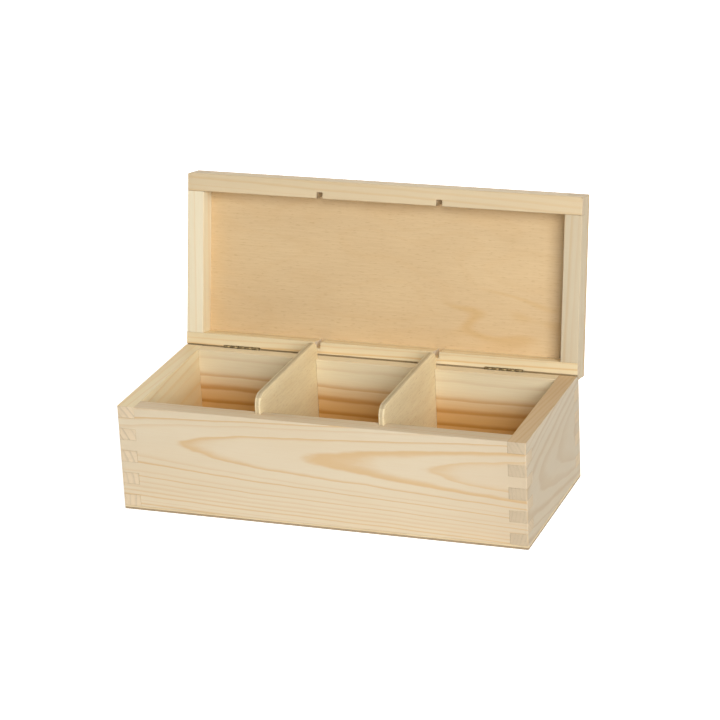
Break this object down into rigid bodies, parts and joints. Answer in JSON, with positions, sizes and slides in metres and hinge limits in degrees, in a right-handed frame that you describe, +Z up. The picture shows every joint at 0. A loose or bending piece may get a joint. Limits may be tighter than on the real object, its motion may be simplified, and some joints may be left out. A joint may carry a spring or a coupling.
{
  "type": "tea bag organizer box",
  "caption": "Wooden tea bag organizer box with finger-jointed walls, a hinged lid that leans back on its stops when open, and slotted-in dividers that part it into open bays.",
  "frame": {"origin": "middle of the base's underside, on the plane the box stands on", "axes": "+X to the right along the box's length as seen from its front, +Y to the back, where the lid is hinged, +Z up; the stored rest pose has the lid open on its stops"},
  "size_m": [0.29, 0.1635, 0.1972],
  "materials": {
    "pine": "sanded and unfinished, pale with tan growth lines",
    "plywood": "sanded birch plywood, unfinished",
    "hinge_steel": "thin plated steel, darkened bronze"
  },
  "bodies": {
    "base": {"base_front_wall": "pine", "base_back_wall": "pine", "base_left_wall": "pine", "base_right_wall": "pine", "bottom_panel": "plywood", "left_divider": "plywood", "right_divider": "plywood", "left_hinge_base_leaf": "hinge_steel", "left_hinge_pin": "hinge_steel", "right_hinge_base_leaf": "hinge_steel", "right_hinge_pin": "hinge_steel"},
    "lid": {"lid_front_rail": "pine", "lid_back_rail": "pine", "lid_left_rail": "pine", "lid_right_rail": "pine", "lid_top_panel": "plywood", "left_hinge_lid_leaf": "hinge_steel", "right_hinge_lid_leaf": "hinge_steel"}
  },
  "joints": [
    {"name": "lid_hinge", "type": "hinge", "parent": "base", "child": "lid", "pos_m": [0, 0.05965, 0.0762], "axis": [1, 0, 0], "range_deg": [0, 100.5]}
  ]
}
